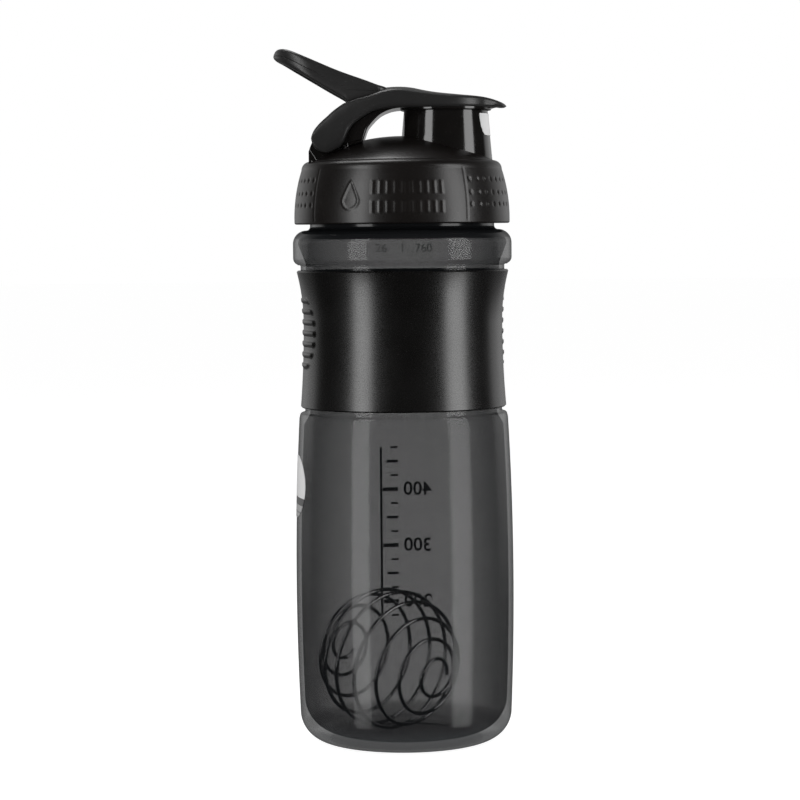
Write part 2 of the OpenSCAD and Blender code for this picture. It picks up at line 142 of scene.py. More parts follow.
def flatShape(name, loops, thick, rounding, resolution=3):  # a flat outline in mm with rounded edges
    curve = bpy.data.curves.new(name, "CURVE")
    curve.dimensions = "2D"
    curve.fill_mode = "BOTH"
    curve.extrude = (thick / 2 - rounding) * mm
    curve.bevel_depth = rounding * mm
    curve.bevel_resolution = resolution
    curve.offset = -rounding * mm
    for loop in loops:
        spline = curve.splines.new("POLY")
        spline.points.add(len(loop) - 1)
        for point, (x, y) in zip(spline.points, loop):
            point.co = (x * mm, y * mm, 0, 1)
        spline.use_cyclic_u = True
    piece = bpy.data.objects.new(name, curve)
    scene.collection.objects.link(piece)
    only(piece)
    bpy.ops.object.convert(target="MESH")
    piece = bpy.context.object
    piece.name = name
    closeUp(piece)
    return piece


def sliced(piece, places):  # cuts the mesh across X so that it can follow a curve
    only(piece)
    bpy.ops.object.mode_set(mode="EDIT")
    for x in places:
        bpy.ops.mesh.select_all(action="SELECT")
        bpy.ops.mesh.bisect(plane_co=(x * mm, 0, 0), plane_no=(1, 0, 0))
    bpy.ops.object.mode_set(mode="OBJECT")


def shaped(piece, thick, low, high):  # lays a flat shape between two lines seen from the side
    for v in piece.data.vertices:
        share = min(max(v.co.z / (thick * mm) + 0.5, 0), 1)
        x = v.co.x / mm
        a, b = heightOn(low, x), heightOn(high, x)
        v.co.z = (a + (b - a) * share) * mm
    piece.data.update()


def wire(name, points, thick, sides=12, radii=None, closed=False):  # round wire along points in mm
    curve = bpy.data.curves.new(name, "CURVE")
    curve.dimensions = "3D"
    curve.bevel_depth = thick / 2 * mm
    curve.bevel_resolution = max(sides // 4 - 1, 1)
    curve.use_fill_caps = True
    spline = curve.splines.new("POLY")
    spline.points.add(len(points) - 1)
    for i, (point, p) in enumerate(zip(spline.points, points)):
        point.co = (p[0] * mm, p[1] * mm, p[2] * mm, 1)
        point.radius = radii[i] if radii else 1
    spline.use_cyclic_u = closed
    piece = bpy.data.objects.new(name, curve)
    scene.collection.objects.link(piece)
    only(piece)
    bpy.ops.object.convert(target="MESH")
    piece = bpy.context.object
    piece.name = name
    closeUp(piece)
    return piece


def joined(name, pieces):
    only(*pieces)
    if len(pieces) > 1:
        bpy.ops.object.join()
    piece = bpy.context.object
    piece.name = name
    piece.data.name = name
    return piece


def boxIn(name, x, y, z):  # a block between pairs of values in mm
    bpy.ops.mesh.primitive_cube_add(size=1, location=[sum(p) / 2 * mm for p in (x, y, z)],
                                    scale=[(p[1] - p[0]) * mm for p in (x, y, z)])
    piece = bpy.context.object
    piece.name = name
    bpy.ops.object.transform_apply(location=True, rotation=True, scale=True)
    return piece


def keepCopy(node, name):  # a merged copy of a CAD node's mesh
    source = frame["nodes"][node]
    piece = bpy.data.objects.new(name, source.data.copy())
    scene.collection.objects.link(piece)
    only(piece)
    bpy.ops.object.mode_set(mode="EDIT")
    bpy.ops.mesh.select_all(action="SELECT")
    bpy.ops.mesh.remove_doubles(threshold=0.002 * mm)
    bpy.ops.mesh.tris_convert_to_quads()
    bpy.ops.object.mode_set(mode="OBJECT")
    return piece


def finishPiece(piece, body, slot, material, *nodes):
    piece.data.materials.clear()
    piece.data.materials.append(material)
    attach(piece, body)
    if nodes:
        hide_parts(*nodes)
    return piece


# small tools that build materials
class Strand:  # one value in a finish, so that sums can be written out
    def __init__(self, finish, socket):
        self.finish, self.socket = finish, socket

    def sums(self, how, a, b=None):
        values = {0: a} if b is None else {0: a, 1: b}
        return self.finish.node("Math", {"operation": how}, values)

    def __add__(self, other):
        return self.sums("ADD", self, other)

    def __radd__(self, other):
        return self.sums("ADD", other, self)

    def __sub__(self, other):
        return self.sums("SUBTRACT", self, other)

    def __rsub__(self, other):
        return self.sums("SUBTRACT", other, self)

    def __mul__(self, other):
        return self.sums("MULTIPLY", self, other)

    def __rmul__(self, other):
        return self.sums("MULTIPLY", other, self)

    def __truediv__(self, other):
        return self.sums("DIVIDE", self, other)

    def __pow__(self, other):
        return self.sums("POWER", self, other)

    def __lt__(self, other):
        return self.sums("LESS_THAN", self, other)

    def __gt__(self, other):
        return self.sums("GREATER_THAN", self, other)

    def __abs__(self):
        return self.sums("ABSOLUTE", self)

    def either(self, other):
        return self.sums("MAXIMUM", self, other)

    def part(self, name):  # another output of the same node
        return Strand(self.finish, self.socket.node.outputs[name])


class Finish:  # a material built from nodes
    def __init__(self, name):
        self.material = bpy.data.materials.new(name)
        self.material.use_nodes = True
        self.tree = self.material.node_tree
        self.tree.nodes.clear()

    def node(self, kind, settings=None, values=None, out=0):
        made = self.tree.nodes.new("ShaderNode" + kind)
        for key, value in (settings or {}).items():
            if key == "stops":
                ramp = made.color_ramp
                while len(ramp.elements) < len(value):
                    ramp.elements.new(0.5)
                for element, (place, colour) in zip(ramp.elements, value):
                    element.position = place
                    element.color = (*colour, 1)
            else:
                setattr(made, key, value)
        for key, value in (values or {}).items():
            if isinstance(value, Strand):
                self.tree.links.new(value.socket, made.inputs[key])
            else:
                made.inputs[key].default_value = value
        return Strand(self, made.outputs[out])

    def place(self):  # object coordinates, split
        return self.node("SeparateXYZ", {}, {0: self.node("TexCoord", out="Object")})

    def noise(self, size, detail=2.0, stretch=(1, 1, 1), rough=0.5):  # size in mm
        spot = self.node("Mapping", {}, {"Vector": self.node("TexCoord", out="Object"),
                                         "Scale": [s / mm / size for s in stretch]})
        return self.node("TexNoise", {}, {"Vector": spot, "Scale": 1.0, "Detail": detail,
                                          "Roughness": rough})

    def step(self, value, low, high, first=0.0, last=1.0):
        return self.node("MapRange", {"interpolation_type": "SMOOTHSTEP"},
                         {0: value, 1: low, 2: high, 3: first, 4: last})

    def mixed(self, share, colourA, colourB):
        def full(c):
            return c if isinstance(c, Strand) else (*c, 1) if len(c) == 3 else c
        return self.node("Mix", {"data_type": "RGBA"}, {0: share, 6: full(colourA),
                                                        7: full(colourB)}, out=2)

    def bump(self, height, depth, strength=1.0):  # depth in mm
        return self.node("Bump", {}, {"Strength": strength, "Distance": depth * mm,
                                      "Height": height})

    def surface(self, dull=None, **values):  # dull is where the shine goes away
        named = {key.replace("_", " "): value for key, value in values.items()}
        for key in ("Base Color", "Specular Tint", "Coat Tint"):
            if key in named and not isinstance(named[key], Strand):
                named[key] = (*named[key], 1)
        shader = self.node("BsdfPrincipled", {}, named)
        if dull is not None:
            plain = self.node("BsdfPrincipled", {}, named | {"Specular IOR Level": 0.0})
            shader = self.node("MixShader", {}, {0: dull, 1: shader, 2: plain})
        out = self.tree.nodes.new("ShaderNodeOutputMaterial")
        self.tree.links.new(shader.socket, out.inputs["Surface"])
        return self.material


# the camera, the floor and the light
shot = {"lens": 118.44, "place": (-1.34, -982, 190.8), "down": 3.695, "roll": -0.5}
bpy.ops.object.camera_add(location=[v * mm for v in shot["place"]])
camera = bpy.context.object
camera.name = "camera"
camera.data.lens = shot["lens"]
camera.data.sensor_width = 36
camera.data.clip_start, camera.data.clip_end = 0.05, 50
aim = (Matrix.Rotation(math.radians(90 - shot["down"]), 3, "X")
       @ Matrix.Rotation(math.radians(shot["roll"]), 3, "Z"))
camera.rotation_euler = aim.to_euler()
scene.camera = camera
scene.view_settings.view_transform = "Standard"

studio = {"backdrop": 1.0, "roomFront": 0.03, "roomBack": 0.85, "floorGlow": 0.95, "floorLight": 0.05,
          "floorPaint": 0.30}
world = bpy.data.worlds.new("studio")
scene.world = world
world.use_nodes = True
room = world.node_tree
room.nodes.clear()
whichRay = room.nodes.new("ShaderNodeLightPath")
heading = room.nodes.new("ShaderNodeTexCoord")
parts = room.nodes.new("ShaderNodeSeparateXYZ")
room.links.new(heading.outputs["Generated"], parts.inputs[0])
# the pale backdrop is behind the object and the dark room is in front
behind = room.nodes.new("ShaderNodeMapRange")
behind.interpolation_type = "SMOOTHSTEP"
behind.inputs["From Min"].default_value, behind.inputs["From Max"].default_value = 0.36, 0.56
behind.inputs["To Min"].default_value = studio["roomFront"]
aloft = room.nodes.new("ShaderNodeMapRange")  # and it is darker overhead
aloft.inputs["From Min"].default_value, aloft.inputs["From Max"].default_value = 0.10, 0.50
aloft.inputs["To Min"].default_value, aloft.inputs["To Max"].default_value = studio["roomBack"], 0.14
room.links.new(parts.outputs["Z"], aloft.inputs["Value"])
room.links.new(aloft.outputs[0], behind.inputs["To Max"])
room.links.new(parts.outputs["Y"], behind.inputs["Value"])
strength = room.nodes.new("ShaderNodeMapRange")
straight = room.nodes.new("ShaderNodeMapRange")  # a little darker straight behind
straight.inputs["From Min"].default_value, straight.inputs["From Max"].default_value = 0.84, 0.96
straight.inputs["To Min"].default_value, straight.inputs["To Max"].default_value = 1.0, 0.5
room.links.new(parts.outputs["Y"], straight.inputs["Value"])
below = room.nodes.new("ShaderNodeMapRange")  # and below the floor's edge
below.inputs["From Min"].default_value, below.inputs["From Max"].default_value = -0.15, 0.0
below.inputs["To Min"].default_value, below.inputs["To Max"].default_value = 0.18, 1.0
room.links.new(parts.outputs["Z"], below.inputs["Value"])
shade = behind
for fade in (straight, below):
    dimmed = room.nodes.new("ShaderNodeMath")
    dimmed.operation = "MULTIPLY"
    room.links.new(shade.outputs[0], dimmed.inputs[0])
    room.links.new(fade.outputs[0], dimmed.inputs[1])
    shade = dimmed
room.links.new(shade.outputs[0], strength.inputs["To Min"])
strength.inputs["To Max"].default_value = studio["backdrop"]
glow = room.nodes.new("ShaderNodeBackground")
glow.inputs["Color"].default_value = (1, 1, 1, 1)
skyOut = room.nodes.new("ShaderNodeOutputWorld")
room.links.new(whichRay.outputs["Is Camera Ray"], strength.inputs["Value"])
room.links.new(strength.outputs[0], glow.inputs["Strength"])
room.links.new(glow.outputs[0], skyOut.inputs["Surface"])

bpy.ops.mesh.primitive_circle_add(vertices=96, radius=9, fill_type="NGON", location=(0, 0, -0.0003))
floor = bpy.context.object
floor.name = "floor"
paper = bpy.data.materials.new("whitePaper")
paper.use_nodes = True
paperShader = paper.node_tree.nodes["Principled BSDF"]
paperShader.inputs["Base Color"].default_value = (*[studio["floorPaint"]] * 3, 1)
paperShader.inputs["Roughness"].default_value = 0.8
paperShader.inputs["Emission Color"].default_value = (1, 1, 1, 1)
paperRay = paper.node_tree.nodes.new("ShaderNodeLightPath")
paperGlow = paper.node_tree.nodes.new("ShaderNodeMapRange")
paperGlow.inputs["To Min"].default_value = studio["floorLight"]
paperGlow.inputs["To Max"].default_value = studio["floorGlow"]
paper.node_tree.links.new(paperRay.outputs["Is Camera Ray"], paperGlow.inputs["Value"])
paper.node_tree.links.new(paperGlow.outputs[0], paperShader.inputs["Emission Strength"])
floor.data.materials.append(paper)
floor.visible_glossy = False  # the soft boxes are mirrored down to the foot
floor.visible_shadow = False

lamps = [  # name, degrees round from the camera, height, distance, width, tall, power
    ("leftBox", -47, 0.30, 1.10, 0.40, 1.30, 8.0),
    ("rightBox", 62, 0.30, 1.10, 0.50, 1.30, 9.4),
    ("topBox", -140, 1.20, 0.45, 0.60, 0.60, 6.0),
]
for name, turn, height, away, wide, tall, power in lamps:
    a = math.radians(turn)
    bpy.ops.object.light_add(type="AREA", location=(math.sin(a) * away, -math.cos(a) * away, height))
    lamp = bpy.context.object
    lamp.name = name
    lamp.data.shape = "RECTANGLE"
    lamp.data.size, lamp.data.size_y = wide, tall
    lamp.data.energy = power
    lamp.visible_camera = False
    lamp.rotation_euler = (Vector((0, 0, 0.15)) - lamp.location).to_track_quat("-Z", "Y").to_euler()
print("camera, floor and light are in place")


# the finishes
def smokePlastic():
    # painted light: the base corner's tint and film make it paler and more opaque
    look = {"tint": (0.0100, 0.0108, 0.0118), "cornerLightTint": (0.062, 0.066, 0.070), "film": 0.475,
            # painted shade: the floor film makes the bottle's floor darker and more opaque
            "edgeOn": 0.35, "cornerLightFilm": 0.74, "baseShadeFilm": 0.80, "neckShadeFilm": 0.985, "shine": 0.115,
            "bendsLight": 1.5, "mirror": 0.30, "limbDull": 0.65}
    # heights and radii in mm between which each part of the bottle fades in
    fades = {"cornerLightUp": (5.0, 12.0), "cornerLightOut": (30, 36), "baseShadeUp": (3.4, 4.2), "baseShadeOut": (28.5, 30.5),
             "neckShadeUp": (186.2, 188.5)}
    f = Finish("smokePlastic")
    p = f.place()
    x, y, z = p.part("X"), p.part("Y"), p.part("Z")
    around = (x * x + y * y) ** 0.5
    cornerLightUp, cornerLightOut, baseShadeUp, baseShadeOut, neckShadeUp = [
        f.step(value, fades[name][0] * mm, fades[name][1] * mm)
        for name, value in zip(fades, (z, around, z, around, z))]
    # painted light: the outer base corner is made paler and more opaque, standing in for light caught in the
    # thick corner; it is also made rougher
    cornerLight = (1 - cornerLightUp) * cornerLightOut
    # painted shade: the bottle's floor is made darker and more opaque, standing in for the dark look of the
    # thick base
    baseShade = (1 - baseShadeUp) * (1 - baseShadeOut)
    cloud = f.noise(22, 3.0)
    grain = f.noise(9, 1.0)
    scuffs = f.step(f.noise(5, 5.0, stretch=(1, 1, 0.15)), 0.66, 0.80)
    turned = f.node("LayerWeight", {}, {"Blend": 0.5}, out="Facing")
    edgeOn = turned ** 1.5
    film = look["film"] + edgeOn * look["edgeOn"]
    film = film.either(cornerLight * look["cornerLightFilm"]).either(baseShade * look["baseShadeFilm"])
    # painted shade: the neck is made nearly opaque and dark, standing in for the shade seen through it under
    # the lid
    film = film.either(neckShadeUp * look["neckShadeFilm"])
    # the paler tint at the base corner is painted light
    tint = f.mixed(cornerLight, look["tint"], look["cornerLightTint"])
    rough = look["shine"] + cloud * 0.04 + cornerLight * 0.08 + scuffs * 0.04
    return f.surface(dull=f.step(turned, 0.66, 0.88) * look["limbDull"], Base_Color=tint, Roughness=rough,
                     IOR=look["bendsLight"], Specular_IOR_Level=look["mirror"], Alpha=film,
                     Normal=f.bump(grain, 0.010, 0.2))


def blackInk():
    f = Finish("blackInk")
    mottle = f.noise(1.1, 3.0)
    return f.surface(Base_Color=f.mixed(mottle, (0.004, 0.004, 0.004), (0.010, 0.010, 0.010)),
                     Roughness=0.35 + mottle * 0.15, Normal=f.bump(mottle, 0.005, 0.3))


def rubber(name, colour, shade, rough, grainSize, grainDepth, gloss=1.5):
    f = Finish(name)
    patches = f.noise(18, 3.0)
    grain = f.noise(grainSize, 3.0, rough=0.65)
    lint = f.step(f.noise(0.9, 1.0), 0.70, 0.78)
    tone = f.mixed(f.step(patches, 0.35, 0.7), colour, shade)
    tone = f.mixed(lint * 0.25, tone, tuple(min(c * 3 + 0.02, 1) for c in colour))
    return f.surface(Base_Color=tone, Roughness=rough + (grain - 0.5) * 0.22 + (patches - 0.5) * 0.10,
                     IOR=gloss, Normal=f.bump(grain, grainDepth, 0.7))


def glossBlack():
    f = Finish("glossBlack")
    haze = f.noise(9, 3.0)
    ripple = f.noise(5, 1.0)
    specks = f.step(f.noise(0.5, 1.0), 0.74, 0.80)
    return f.surface(Base_Color=f.mixed(haze, (0.004, 0.0036, 0.0034), (0.009, 0.008, 0.0075)),
                     Roughness=0.07 + haze * 0.08 + specks * 0.2, IOR=1.55,
                     Normal=f.bump(ripple, 0.02, 0.35))


def springSteel(name, colour, rough):
    f = Finish(name)
    drawn = f.noise(0.7, 4.0, stretch=(1, 1, 0.2))
    stain = f.noise(11, 2.0)
    return f.surface(Base_Color=f.mixed(stain, colour, tuple(c * 0.75 for c in colour)), Metallic=1.0,
                     Roughness=rough + drawn * 0.08, Normal=f.bump(drawn, 0.008, 0.3))


def filmLabel(name, bandAt, dark, plain):
    f = Finish(name)
    p = f.place()
    fibres = f.noise(0.6, 3.0)
    z = p.part("Z") - p.part("Y") * 0.04
    below = 1 - f.step(z, bandAt - 0.15 * mm, bandAt + 0.15 * mm)
    line = (abs(z - (bandAt - 1.4 * mm)) < 1.4 * mm)
    small = abs(z - (bandAt - 5.5 * mm)) < 0.35 * mm
    small = small.either(abs(z - (bandAt - 7.4 * mm)) < 0.35 * mm)
    tone = f.mixed(below, (0.86, 0.86, 0.86), plain)
    tone = f.mixed(line.either(small * 0.6), tone, dark)
    return f.surface(Base_Color=tone, Roughness=0.32 + fibres * 0.12, Coat_Weight=0.3,
                     Coat_Roughness=0.12, Normal=f.bump(fibres, 0.01, 0.3))


smoke = smokePlastic()
gripBlack = rubber("gripRubber", (0.0030, 0.0027, 0.0025), (0.0042, 0.0039, 0.0037), 0.27, 0.45, 0.003, 1.60)
lidSoft = rubber("lidSoftSkin", (0.0062, 0.0050, 0.0045), (0.0082, 0.0067, 0.0061), 0.31, 0.40, 0.014, 1.47)
capSoft = rubber("capSoftSkin", (0.0185, 0.0182, 0.0182), (0.0225, 0.022, 0.022), 0.38, 0.38, 0.014)
ink = blackInk()
gloss = glossBlack()
ballSteel = springSteel("ballSteel", (0.78, 0.78, 0.79), 0.08)
pinSteel = springSteel("pinSteel", (0.62, 0.62, 0.63), 0.25)
silicone = rubber("sealSilicone", (0.30, 0.30, 0.30), (0.36, 0.36, 0.35), 0.45, 0.8, 0.02)
print("finishes are mixed")


# places taken from the frame, in mm
def low(node, axis):
    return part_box(node)[0]["xyz".index(axis)] / mm


def high(node, axis):
    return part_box(node)[1]["xyz".index(axis)] / mm


hinge = [v / mm for v in next(j for j in frame["joints"] if j["name"] == "cap_flip")["pos_m"]]
gripToBody, inside = 1.28, 0.01  # the barrel is wider than the grip, and stays inside its box
bodyR = round(high("grip_sleeve", "x") + gripToBody, 1) - inside
gripLow, gripTop = low("grip_sleeve", "z"), high("grip_sleeve", "z")
rimZ = high("bottle_shell", "z")
lidLow = low("lid_collar", "z")
spoutTop = high("lid_shell", "z")
capWide = high("cap_skin", "y")
spoutX = (low("spout_plug", "x") + high("spout_plug", "x")) / 2


# the bottle, its figures, its printed scale and its grip
bottle = {"corner": 10.9, "swell": 1.35, "wall": 1.9, "groove": 2.1, "recess": 1.2, "bowl": 13.2,
          "lowIn": 1.0, "highIn": 1.7, "shoulderR": 5.0, "neckIn": 6.4, "fillet": 1.4, "steps": 192,
          "threadTurns": 1.5, "threadRise": 6.0, "threadUp": 5.2, "band": 13.8}
grip = {"thick": 1.6, "waistIn": 3.65, "waistUp": 31.9, "flareLow": 1.35, "flareTop": 2.5, "edge": 0.5,
        "ribUp": 0.45, "ribPitch": 4.0, "ribHalf": 1.1, "padWide": 12.0, "padTall": 15.0, "padTurn": 11.5,
        "steps": 300}
barrelTop = gripLow - bottle["groove"] - 2
barrelH = gripLow - bottle["groove"]
bandLow = gripTop + bottle["groove"]
shoulderZ = bandLow + bottle["band"]
neckR = bodyR - bottle["neckIn"]


def barrelAt(z):
    t = (z - bottle["corner"]) / (barrelTop - bottle["corner"])
    lowR, highR = bodyR - bottle["lowIn"], bodyR - bottle["highIn"]
    return lowR + (highR - lowR) * t + 4 * bottle["swell"] * t * (1 - t)


def gripAt(z):
    waistR, waistZ = bodyR - grip["waistIn"], gripLow + grip["waistUp"]
    if z < waistZ:
        return waistR + grip["flareLow"] * ((waistZ - z) / grip["waistUp"]) ** 2
    return waistR + grip["flareTop"] * ((z - waistZ) / (gripTop - waistZ)) ** 2


def makeBottle():
    b, wall = bottle, bottle["wall"]
    footR = bodyR - b["lowIn"] - b["corner"]
    topR = bodyR - b["highIn"]
    sunk = grip["thick"]
    outer = [(0, b["recess"]), (footR - 5.3, b["recess"]), (footR - 4.4, b["recess"] - 0.25),
             (footR - 3.0, 0.25), (footR - 2.2, 0), (footR, 0)]
    outer += bend(footR, b["corner"], b["corner"], -85, 0, 18)
    outer += [(barrelAt(z), z) for z in even(b["corner"] + 2, barrelTop, 44)]
    outer += [(topR - 0.25, barrelH - 0.8), (topR - 0.5, barrelH - 0.2), (topR - 0.8, barrelH)]
    outer += [(gripAt(gripLow) - sunk + 0.4, barrelH), (gripAt(gripLow) - sunk, barrelH + 0.4)]
    outer += [(gripAt(z) - sunk, z) for z in even(gripLow, gripTop, 28)]
    outer += [(gripAt(gripTop) - sunk, bandLow - 0.4), (gripAt(gripTop) - sunk + 0.4, bandLow)]
    outer += [(bodyR - 1.6, bandLow)] + bend(bodyR - 2.5, bandLow + 2.5, 2.5, -68, 0, 7)
    sr, fr, top = b["shoulderR"], b["fillet"], shoulderZ - 1
    outer += bend(bodyR - sr, top - sr, sr, 0, 90, 14)
    outer += bend(neckR + fr, top + fr, fr, 270, 180, 8)
    outer += bend(neckR - 0.7, rimZ - 0.7, 0.7, 0, 90, 5)
    inner = bend(neckR - wall + 0.6, rimZ - 0.6, 0.6, 90, 180, 4)
    inner += bend(neckR + fr, top + fr, fr + wall, 180, 265, 8)
    inner += bend(bodyR - sr, top - sr, sr - wall, 90, 0, 10)
    inner += [(gripAt(gripTop) - sunk - wall, bandLow + 0.5)]
    inner += [(gripAt(z) - sunk - wall, z) for z in even(gripTop, gripLow, 28)]
    inner += [(gripAt(gripLow) - sunk - wall, barrelH - 0.4)]
    bowlZ = b["recess"] + wall + b["bowl"]
    inner += [(barrelAt(z) - wall, z) for z in even(barrelH - 4.5, bowlZ + 4, 36)]
    inner += bend(barrelAt(bowlZ) - wall - b["bowl"], bowlZ, b["bowl"], 0, -90, 16)
    inner += [(0, b["recess"] + wall)]
    shell = spun("bottleShell", outer + inner, b["steps"])
    turns = int(80 * b["threadTurns"])
    path, sizes = [], []
    for i in range(turns + 1):
        a = math.radians(360 * b["threadTurns"] * i / turns)
        path.append(((neckR - 0.05) * math.cos(a), (neckR - 0.05) * math.sin(a),
                     shoulderZ + b["threadUp"] + b["threadRise"] * b["threadTurns"] * i / turns))
        sizes.append(min(1, 0.25 + min(i, turns - i) / 9))
    carve(shell, wire("thread", path, 3.0, 12, sizes), "UNION")
    lines = {"x": 1.2, "low": 24.0, "step": 11.0, "count": 7, "up": 0.25}
    tall = lines["low"] + lines["step"] * lines["count"]
    ring = spun("ring", [(barrelAt(z) - 0.3, z) for z in even(20, 112, 40)]
                + [(barrelAt(z) + lines["up"], z) for z in even(112, 20, 40)], b["steps"], loop=True)
    bars = [boxIn("bar", (lines["x"], lines["x"] + 0.8), (-bodyR - 3, -bodyR + 6), (lines["low"], tall))]
    for i in range(lines["count"] + 1):
        z = lines["low"] + lines["step"] * i
        wide = 5.6 if i % 2 == 0 else 2.8
        bars.append(boxIn("bar", (lines["x"] + 1.1, lines["x"] + 1.1 + wide), (-bodyR - 3, -bodyR + 6),
                          (z - 0.4, z + 0.4)))
    carve(ring, joined("bars", bars), "INTERSECT")
    carve(shell, ring, "UNION")
    soften(shell)
    finishPiece(shell, "bottle", "smoke_plastic", smoke, "bottle_shell")


def makeFigures():  # raised figures and a line on the band over the grip
    parts = []
    for words, place, size in (("26", -7.6, 2.9), ("760", 7.6, 2.9), ("l", 0.0, 3.4)):
        bpy.ops.object.text_add()
        text = bpy.context.object
        text.data.body = words
        text.data.align_x = "CENTER"
        text.data.size = size * 1.45 * mm
        text.data.extrude = 0.16 * mm
        bpy.ops.object.convert(target="MESH")
        text = bpy.context.object
        for v in text.data.vertices:
            a = (v.co.x / mm + place) / bodyR
            r = (bodyR + 0.06 + v.co.z / mm) * mm
            height = v.co.y + (shoulderZ - 8.9) * mm
            v.co = (r * math.sin(a), -r * math.cos(a), height)
        parts.append(text)
    figures = joined("bandFigures", parts)
    closeUp(figures, 0.0005 * mm)
    finishPiece(figures, "bottle", "smoke_plastic", smoke)


def makePrintedScale():  # inked on the back of the barrel, so it reads from behind
    inked = {"step": 22.0, "first": 46.0, "words": ("200", "300", "400"), "tall": 7.4, "up": 0.012}
    parts = []

    def wrap(piece, place, height):
        for v in piece.data.vertices:
            z = v.co.y / mm + height
            r = barrelAt(z) + inked["up"] + v.co.z / mm
            a = (v.co.x / mm + place) / barrelAt(z)
            v.co = (-r * mm * math.sin(a), r * mm * math.cos(a), z * mm)
        parts.append(piece)

    for i, words in enumerate(inked["words"]):
        bpy.ops.object.text_add()
        text = bpy.context.object
        text.data.body = words
        text.data.align_x, text.data.align_y = "CENTER", "CENTER"
        text.data.size = inked["tall"] * mm
        text.data.offset = 0.12 * mm
        text.data.resolution_u = 4
        bpy.ops.object.convert(target="MESH")
        wrap(bpy.context.object, -5.2, inked["first"] + inked["step"] * i)
    for i in range(13):
        height = inked["first"] - 5.5 + 5.5 * i
        onFigure = (i - 1) % 4 == 0
        wide, tall = (6.0, 1.5) if onFigure else (4.4, 1.1) if i % 2 else (2.8, 0.8)
        bar = newPiece("bar", [(x * mm, y * mm, 0) for y in (-tall / 2, tall / 2) for x in even(0, wide, 4)],
                       faces=[(k, k + 1, k + 6, k + 5) for k in range(4)])
        wrap(bar, 2.4, height)
    spine = newPiece("spine", [(x * mm, y * mm, 0) for y in even(0, 66, 24) for x in (0, 0.9)],
                     faces=[(2 * k, 2 * k + 1, 2 * k + 3, 2 * k + 2) for k in range(24)])
    wrap(spine, 8.6, inked["first"] - 5.5)
    printed = joined("printedScale", parts)
    only(printed)
    bpy.ops.object.mode_set(mode="EDIT")
    bpy.ops.mesh.select_all(action="SELECT")
    bpy.ops.mesh.remove_doubles(threshold=0.001 * mm)
    bpy.ops.mesh.quads_convert_to_tris()
    bpy.ops.object.mode_set(mode="OBJECT")
    finishPiece(printed, "bottle", "label_print", ink)


def makeGrip():
    g = grip
    e = g["edge"]
    rows = 112
    outer = [(gripAt(gripLow) - g["thick"] + 0.05, gripLow), (gripAt(gripLow) - e, gripLow)]
    outer += [(gripAt(z), z) for z in even(gripLow + e, gripTop - e, rows)]
    outer += [(gripAt(gripTop) - e, gripTop)]
    outer += [(gripAt(z) - g["thick"] + 0.05, z) for z in even(gripTop, gripLow + 2, 16)]
    sleeve = spun("gripSleeve", outer, g["steps"], loop=True)
    padZ, padTurn = gripLow + (gripTop - gripLow) * 0.55, math.radians(g["padTurn"])
    for v in sleeve.data.vertices:
        x, y, z = (c / mm for c in v.co)
        r = math.hypot(x, y)
        if r < gripAt(z) - 0.2:
            continue
        across, up = y * math.cos(padTurn) - x * math.sin(padTurn), z - padZ
        if abs(across) > g["padWide"] + 2 or abs(up) > g["padTall"] + 2:
            continue
        inside = 1 - math.hypot(across / g["padWide"], up / g["padTall"])
        fromRib = abs((up + g["ribPitch"] / 2) % g["ribPitch"] - g["ribPitch"] / 2)
        lift = min(max((g["ribHalf"] - fromRib) / 0.55, 0), 1) * min(max(inside * 9, 0), 1)
        lift = lift * lift * (3 - 2 * lift)
        grown = (r + g["ribUp"] * lift) / r
        v.co.x, v.co.y = v.co.x * grown, v.co.y * grown
    soften(sleeve)
    finishPiece(sleeve, "bottle", "grip_rubber", gripBlack, "grip_sleeve")


makeBottle()
makeFigures()
makePrintedScale()
makeGrip()
print("bottle, figures and grip are made")


# the wire ball
ball = {"wire": 1.45, "outer": 53.2, "up": 30.1, "turns": 8.95, "pole": 5, "ring": 13, "phase": 80,
        "tilt": 97, "swing": -47, "perTurn": 64}


def makeBall():
    b = ball
    r = (b["outer"] - b["wire"]) / 2
    lo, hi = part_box("mixing_ball")
    centre = Vector((round((lo.x + hi.x) / 2 / mm, 1), 0, b["up"]))
    count = int(b["turns"] * b["perTurn"])
    turned = (Matrix.Rotation(math.radians(b["swing"]), 3, "Z")
              @ Matrix.Rotation(math.radians(b["tilt"]), 3, "Y"))
    path = []
    for i in range(count + 1):
        p = math.radians(max(b["ring"], min(180 - b["ring"], b["pole"] + (180 - 2 * b["pole"]) * i / count)))
        a = math.radians(b["phase"] + 360 * b["turns"] * i / count)
        path.append(turned @ Vector((r * math.sin(p) * math.cos(a), r * math.sin(p) * math.sin(a),
                                     r * math.cos(p))) + centre)
    made = wire("wireBall", path, b["wire"], 12)
    soften(made, 50)
    finishPiece(made, "mixing_ball", "ball_steel", ballSteel, "mixing_ball")


makeBall()
print("wire ball is wound")


# the screw lid
lid = {"skin": 1.3, "bow": 59.0, "bowUp": 2.0, "edgeR": 3.24, "domeRise": 9.46, "edgeUp": 0.6,
       "domeUp": 3.64, "crease": 0.3, "steps": 600, "dimpleR": 1.0, "dimpleDeep": 0.3,
       "rows": (16.0, 11.2, 6.9), "columnTurn": 5.8, "frontHalf": 50.5, "backHalf": 33.6,
       "ribUp": 0.17, "panelLine": 0.08}
collarR = neckR + 5.75
edgeZ, domeZ = rimZ + lid["edgeUp"], rimZ + lid["domeUp"]
domeEdge = neckR + 0.3
domeBall = (domeEdge ** 2 + lid["domeRise"] ** 2) / (2 * lid["domeRise"])
domeMid = domeZ + lid["domeRise"] - domeBall
spoutR, spoutSlope = 15.45, 0.089


def collarAt(z):
    up = z - lidLow - lid["bowUp"]
    return collarR - lid["bow"] + math.sqrt(lid["bow"] ** 2 - up ** 2)


def domeAt(r, t=0):
    return domeMid + math.sqrt((domeBall - t) ** 2 - r ** 2)


def gently(value, soft):  # 0 outside, 1 inside, with a soft edge
    t = min(max(value / soft, 0), 1)
    return t * t * (3 - 2 * t)


